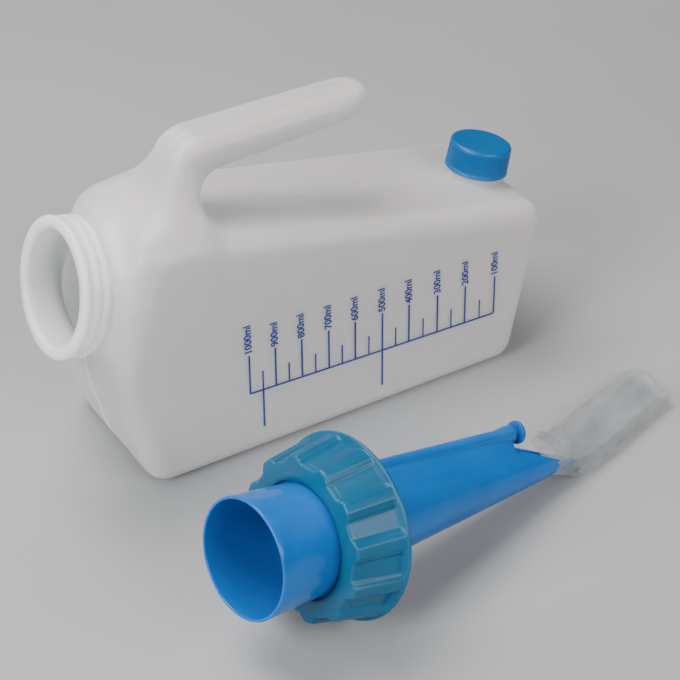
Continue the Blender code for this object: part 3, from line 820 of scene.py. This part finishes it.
def film_grid(around, along):
    """The sleeve from the tube's cut end to its square-cut open end, as rings of points."""
    stations = np.array(FILM_ROUTE)
    keys = np.linspace(0, 1, len(stations))
    t = np.linspace(0, 1, along)
    smooth = np.array([np.interp(t, keys, stations[:, k]) for k in range(4)])
    kernel = np.hanning(max(3, along // 6) | 1)
    kernel /= kernel.sum()
    pad = len(kernel) // 2
    for k in range(4):
        run = smooth[k]
        ends = (2 * run[0] - run[pad:0:-1], 2 * run[-1] - run[-2 : -pad - 2 : -1])
        smooth[k] = np.convolve(np.concatenate([ends[0], run, ends[1]]), kernel, "valid")
    angle = np.arange(around) / around * 2 * math.pi
    rows = []
    for i in range(along):
        x, y, z, yaw = smooth[:, i]
        # The half width at which the section has the sleeve's round.
        wide = 0.0125
        for _ in range(5):
            shape = film_section(wide, t[i])
            around_it = np.linalg.norm(np.diff([*shape, shape[0]], axis=0), axis=1).sum()
            wide += (FILM_ROUND - around_it) / 4
        section = even_loop(shape, around)
        section[:, 1] -= z - 0.0009
        turn = math.radians(yaw)
        across = np.array([-math.sin(turn), math.cos(turn), 0.0])
        ring = np.array([x, y, z]) + section[:, :1] * across
        ring[:, 2] += section[:, 1]
        rows.append(ring)
    rows = np.array(rows)
    vent = math.radians(90) + INSERT_ROLL - angle
    overlap = 0.0012
    begin = (np.clip(cut_station(vent) - overlap, *FILM_START) - FILM_START[0]) / FILM_LENGTH
    finish = 1 - 0.030 * (1 - np.cos(angle))
    for k in range(around):
        at = begin[k] + (finish[k] - begin[k]) * t
        for c in range(3):
            rows[:, k, c] = np.interp(at, t, rows[:, k, c])
    return rows, t, angle


def film_wrinkles(t, angle):
    """Height of the creases over the sleeve, in metres, from crossing folds of several sizes."""
    v, a = np.meshgrid(t, angle, indexing="ij")
    rng = np.random.default_rng(11)
    total = np.zeros_like(v)
    for _ in range(26):
        centre = rng.uniform(0, 1), rng.uniform(0, 2 * math.pi)
        heading = rng.normal(0, 0.9)
        du = (v - centre[0]) * FILM_LENGTH
        da = ((a - centre[1] + math.pi) % (2 * math.pi) - math.pi) * FILM_ROUND / (2 * math.pi)
        far = du * math.cos(heading) + da * math.sin(heading)
        off = -du * math.sin(heading) + da * math.cos(heading)
        length, width = rng.uniform(0.008, 0.024), rng.uniform(0.0010, 0.0030)
        height = rng.uniform(-0.0009, 0.0011)
        ridge = np.exp(-np.abs(off) / width) * np.exp(-((far / length) ** 2))
        total += height * ridge
    total += 0.00022 * np.sin(a * 5 + 7 * v) * np.sin(v * 31)
    gather = np.exp(-(((v - 0.10) / 0.08) ** 2))
    total += 0.00030 * gather * np.sin(a * 17 + 1.7 * np.sin(v * 40))
    end = np.exp(-(((v - 1.0) / 0.12) ** 2))
    total += 0.00045 * end * np.sin(a * 4 + 2.2)
    return total


def outward(rows):
    """Unit normals of a sleeve given as rings of points."""
    grow = np.gradient(rows, axis=0)
    turn = (np.roll(rows, -1, axis=1) - np.roll(rows, 1, axis=1)) / 2
    normal = np.cross(turn, grow)
    return normal / np.linalg.norm(normal, axis=2)[..., None]


def make_film(material):
    """The creased sleeve, kept just over the floor, with its wall inside."""
    rows, t, angle = film_grid(around=168, along=150)
    floor = 0.0004
    outer = rows + outward(rows) * film_wrinkles(t, angle)[..., None]
    outer[..., 2] = np.maximum(outer[..., 2], floor)
    inner = outer - outward(outer) * FILM_WALL
    points, faces = skin(np.concatenate([outer, inner[::-1]]), loop=True)
    film = mesh_object("film_sleeve", points, faces)
    finish_piece(film, "insert", "clear_film", material, "valve_film")


# ---------------------------------------------------------------- materials


CAP_BLUE = (0.003, 0.105, 0.30)
FUNNEL_BLUE = (0.004, 0.132, 0.46)
PLUG_BLUE = (0.005, 0.120, 0.42)
RING_BLUE = (0.003, 0.098, 0.200)
LINER_CREAM = (0.78, 0.78, 0.74)
GASKET_GREY = (0.62, 0.64, 0.63)


def new_material(name):
    material = bpy.data.materials.new(name)
    material.use_nodes = True
    return material, material.node_tree.nodes, material.node_tree.links


def noise(nodes, links, scale, detail, source, stretch=None):
    """A noise texture's value; stretch scales its coordinates first."""
    texture = nodes.new("ShaderNodeTexNoise")
    texture.inputs["Scale"].default_value = scale
    texture.inputs["Detail"].default_value = detail
    if stretch is not None:
        mapping = nodes.new("ShaderNodeMapping")
        mapping.inputs["Scale"].default_value = stretch
        links.new(source, mapping.inputs["Vector"])
        source = mapping.outputs["Vector"]
    links.new(source, texture.inputs["Vector"])
    return texture.outputs["Fac"]


def ramp(nodes, links, source, stops):
    """A colour ramp of (position, colour) stops."""
    node = nodes.new("ShaderNodeValToRGB")
    node.color_ramp.elements[0].position = stops[0][0]
    node.color_ramp.elements[0].color = (*stops[0][1], 1)
    node.color_ramp.elements[1].position = stops[-1][0]
    node.color_ramp.elements[1].color = (*stops[-1][1], 1)
    for at, colour in stops[1:-1]:
        node.color_ramp.elements.new(at).color = (*colour, 1)
    links.new(source, node.inputs["Fac"])
    return node.outputs["Color"]


def ranged(nodes, links, source, low, high, start=0.3, end=0.7):
    """A value that goes from low to high as the source goes from start to end."""
    node = nodes.new("ShaderNodeMapRange")
    node.inputs["From Min"].default_value = start
    node.inputs["From Max"].default_value = end
    node.inputs["To Min"].default_value = low
    node.inputs["To Max"].default_value = high
    links.new(source, node.inputs["Value"])
    return node.outputs["Result"]


def bumped(nodes, links, shader, heights):
    """Chains bump nodes, each given as (height socket, distance, strength)."""
    previous = None
    for height, distance, strength in heights:
        bump = nodes.new("ShaderNodeBump")
        bump.inputs["Distance"].default_value = distance
        bump.inputs["Strength"].default_value = strength
        links.new(height, bump.inputs["Height"])
        if previous is not None:
            links.new(previous, bump.inputs["Normal"])
        previous = bump.outputs["Normal"]
    links.new(previous, shader.inputs["Normal"])


def shade(colour, factor):
    return tuple(min(1.0, c * factor) for c in colour)


def moulded(name, colour, rough, dust, grain=900.0):
    """Moulded plastic: soft mottling, faint flow streaks, uneven gloss and a fine grain."""
    material, nodes, links = new_material(name)
    shader = nodes["Principled BSDF"]
    where = nodes.new("ShaderNodeTexCoord").outputs["Object"]
    blotch = noise(nodes, links, 38.0, 3.0, where)
    streak = noise(nodes, links, 60.0, 4.0, where, stretch=(0.25, 1.6, 1.6))
    fine = noise(nodes, links, grain, 2.0, where)
    tint = [(0.30, shade(colour, 0.90)), (0.52, colour), (0.75, shade(colour, 1.10))]
    base = ramp(nodes, links, blotch, tint)
    pale = tuple(c * (1 - dust) + 0.62 * dust for c in colour)
    # A Mix node's colour sockets: input 0 is the factor, 6 and 7 are A and B, output 2 is the result.
    mix = nodes.new("ShaderNodeMix")
    mix.data_type = "RGBA"
    links.new(ranged(nodes, links, streak, 0.0, 0.75, 0.48, 0.78), mix.inputs[0])
    links.new(base, mix.inputs[6])
    mix.inputs[7].default_value = (*pale, 1)
    links.new(mix.outputs[2], shader.inputs["Base Color"])
    gloss = ranged(nodes, links, streak, rough - 0.05, rough + 0.09)
    links.new(gloss, shader.inputs["Roughness"])
    shader.inputs["IOR"].default_value = 1.49
    shader.inputs["Specular IOR Level"].default_value = 0.36
    shader.inputs["Subsurface Weight"].default_value = 0.12
    shader.inputs["Subsurface Radius"].default_value = (0.6, 0.9, 1.0)
    shader.inputs["Subsurface Scale"].default_value = 0.0012
    bumped(nodes, links, shader, [(blotch, 0.0004, 0.35), (fine, 0.00002, 0.5)])
    return material


def frosted():
    """Milky translucent blow-moulded polyethylene: cloudy wall, soft waves and a fine grain."""
    material, nodes, links = new_material("frosted_polyethylene_look")
    shader = nodes["Principled BSDF"]
    where = nodes.new("ShaderNodeTexCoord").outputs["Object"]
    cloud = noise(nodes, links, 16.0, 4.0, where)
    wave = noise(nodes, links, 34.0, 2.0, where, stretch=(0.5, 1.0, 1.3))
    fine = noise(nodes, links, 750.0, 3.0, where)
    tint = [(0.30, (0.80, 0.83, 0.86)), (0.5, (0.86, 0.875, 0.89)), (0.72, (0.90, 0.91, 0.915))]
    links.new(ramp(nodes, links, cloud, tint), shader.inputs["Base Color"])
    links.new(ranged(nodes, links, wave, 0.34, 0.47), shader.inputs["Roughness"])
    shader.inputs["IOR"].default_value = 1.46
    shader.inputs["Subsurface Weight"].default_value = 1.0
    shader.inputs["Subsurface Radius"].default_value = (0.85, 0.95, 1.0)
    shader.inputs["Subsurface Scale"].default_value = 0.014
    shader.inputs["Subsurface Anisotropy"].default_value = 0.4
    bumped(nodes, links, shader, [(wave, 0.0006, 0.35), (fine, 0.00002, 0.5)])
    return material


def ink():
    """Screen-printed ink: nearly even, a little thin in places."""
    material, nodes, links = new_material("printed_ink")
    shader = nodes["Principled BSDF"]
    where = nodes.new("ShaderNodeTexCoord").outputs["Object"]
    thin = noise(nodes, links, 900.0, 3.0, where)
    tint = [(0.28, (0.05, 0.10, 0.36)), (0.45, (0.016, 0.040, 0.215)), (0.8, (0.012, 0.03, 0.17))]
    links.new(ramp(nodes, links, thin, tint), shader.inputs["Base Color"])
    links.new(ranged(nodes, links, thin, 0.35, 0.6), shader.inputs["Roughness"])
    return material


def soft_rubber(name, colour):
    """Matt rubber or foam with fine cells."""
    material, nodes, links = new_material(name)
    shader = nodes["Principled BSDF"]
    where = nodes.new("ShaderNodeTexCoord").outputs["Object"]
    cells = noise(nodes, links, 1400.0, 4.0, where)
    stops = [(0.3, shade(colour, 0.86)), (0.7, shade(colour, 1.05))]
    links.new(ramp(nodes, links, cells, stops), shader.inputs["Base Color"])
    links.new(ranged(nodes, links, cells, 0.55, 0.75), shader.inputs["Roughness"])
    bumped(nodes, links, shader, [(cells, 0.00005, 0.6)])
    return material


def clear_film():
    """Thin clear film with a painted grey shade: nearly invisible face on, greyer where it turns away and
    in crease streaks.
    """
    material, nodes, links = new_material("clear_film_look")
    shader = nodes["Principled BSDF"]
    where = nodes.new("ShaderNodeTexCoord").outputs["Object"]
    shade_and_haze = noise(nodes, links, 60.0, 3.0, where)
    crease_relief_and_shade = noise(nodes, links, 90.0, 2.0, where, stretch=(0.6, 1.0, 1.0))
    # The grey base colour is painted shade: the clear film is given grey so that it reads darker than the
    # pale floor.
    tint = [(0.3, (0.30, 0.32, 0.34)), (0.7, (0.46, 0.48, 0.50))]
    links.new(ramp(nodes, links, shade_and_haze, tint), shader.inputs["Base Color"])
    links.new(ranged(nodes, links, shade_and_haze, 0.03, 0.11), shader.inputs["Roughness"])
    # Painted shade: the grey grows more opaque towards grazing angles and in the crease streaks.
    edge = nodes.new("ShaderNodeLayerWeight")
    edge.inputs["Blend"].default_value = 0.35
    amount = nodes.new("ShaderNodeMath")
    amount.operation = "MULTIPLY_ADD"
    amount.use_clamp = True
    links.new(edge.outputs["Facing"], amount.inputs[0])
    amount.inputs[1].default_value = 0.60
    links.new(ranged(nodes, links, crease_relief_and_shade, 0.10, 0.24, 0.45, 0.75), amount.inputs[2])
    links.new(amount.outputs["Value"], shader.inputs["Alpha"])
    shader.inputs["IOR"].default_value = 1.52
    shader.inputs["Specular IOR Level"].default_value = 0.8
    shader.inputs["Coat Weight"].default_value = 1.0
    shader.inputs["Coat Roughness"].default_value = 0.03
    bumped(nodes, links, shader, [(crease_relief_and_shade, 0.0012, 0.5)])
    return material


# ---------------------------------------------------------------- stage, light and camera


def make_stage():
    """A plain pale floor just under the object."""
    bm = bmesh.new()
    bmesh.ops.create_grid(bm, x_segments=2, y_segments=2, size=3.0)
    mesh = bpy.data.meshes.new("floor")
    bm.to_mesh(mesh)
    bm.free()
    floor = bpy.data.objects.new("floor", mesh)
    bpy.context.scene.collection.objects.link(floor)
    floor.location.z = -0.0002
    material, nodes, links = new_material("pale_floor")
    shader = nodes["Principled BSDF"]
    where = nodes.new("ShaderNodeTexCoord").outputs["Object"]
    soft = noise(nodes, links, 6.0, 2.0, where)
    stops = [(0.3, (0.35, 0.353, 0.356)), (0.7, (0.375, 0.378, 0.382))]
    links.new(ramp(nodes, links, soft, stops), shader.inputs["Base Color"])
    shader.inputs["Roughness"].default_value = 0.7
    floor.data.materials.append(material)


def area_light(name, place, target, size, power, colour):
    light = bpy.data.lights.new(name, "AREA")
    light.shape = "RECTANGLE"
    light.size = size[0]
    light.size_y = size[1]
    light.energy = power
    light.color = colour
    obj = bpy.data.objects.new(name, light)
    bpy.context.scene.collection.objects.link(obj)
    obj.location = place
    aim = Vector(target) - Vector(place)
    obj.rotation_euler = aim.to_track_quat("-Z", "Y").to_euler()


def make_lights():
    world = bpy.data.worlds.new("studio")
    bpy.context.scene.world = world
    world.use_nodes = True
    sky = world.node_tree.nodes["Background"]
    sky.inputs["Color"].default_value = (0.97, 0.985, 1.0, 1)
    sky.inputs["Strength"].default_value = 0.16
    middle = (0.0, -0.05, 0.05)
    area_light("overhead", (-0.25, 0.35, 1.15), middle, (0.9, 0.7), 18.0, (1, 0.99, 0.975))
    area_light("left", (-1.05, -0.35, 0.65), middle, (0.5, 0.8), 15.0, (0.98, 0.99, 1))
    area_light("front", (0.35, -1.15, 0.75), middle, (0.9, 0.5), 12.0, (1, 0.995, 0.985))


def make_camera():
    """Looks from the neck's side of the near face, down at the floor at about 36 degrees."""
    lift, turn, roll = math.radians(35.92), math.radians(31.54), math.radians(-0.36)
    right = Vector((math.cos(turn), -math.sin(turn), 0.0))
    level = Vector((math.sin(turn), math.cos(turn), 0.0))
    forward = math.cos(lift) * level - math.sin(lift) * Vector((0, 0, 1))
    up = math.sin(lift) * level + math.cos(lift) * Vector((0, 0, 1))
    side = math.cos(roll) * right + math.sin(roll) * up
    top = -math.sin(roll) * right + math.cos(roll) * up
    data = bpy.data.cameras.new("camera")
    data.sensor_width = 36.0
    data.lens = 106.5
    data.shift_x = 0.0044
    data.shift_y = 0.0026
    data.clip_start = 0.05
    data.clip_end = 20.0
    camera = bpy.data.objects.new("camera", data)
    bpy.context.scene.collection.objects.link(camera)
    place = Matrix((side, top, -forward)).transposed().to_4x4()
    place.translation = (-0.3747, -0.6462, 0.5603)
    camera.matrix_world = place
    bpy.context.scene.camera = camera


def main():
    make_stage()
    make_lights()
    make_camera()
    milky = frosted()
    make_bottle(milky)
    make_drain_thread(milky)
    make_scale(ink())
    make_cap(moulded("cap_look", CAP_BLUE, 0.34, dust=0.02))
    make_liner(soft_rubber("liner_look", LINER_CREAM))
    make_funnel(moulded("funnel_look", FUNNEL_BLUE, 0.17, dust=0.02))
    make_vent_disc(moulded("vent_plug_look", PLUG_BLUE, 0.20, dust=0.02))
    make_ring(moulded("ring_look", RING_BLUE, 0.36, grain=700.0, dust=0.03))
    make_gasket(soft_rubber("gasket_look", GASKET_GREY))
    make_film(clear_film())


main()
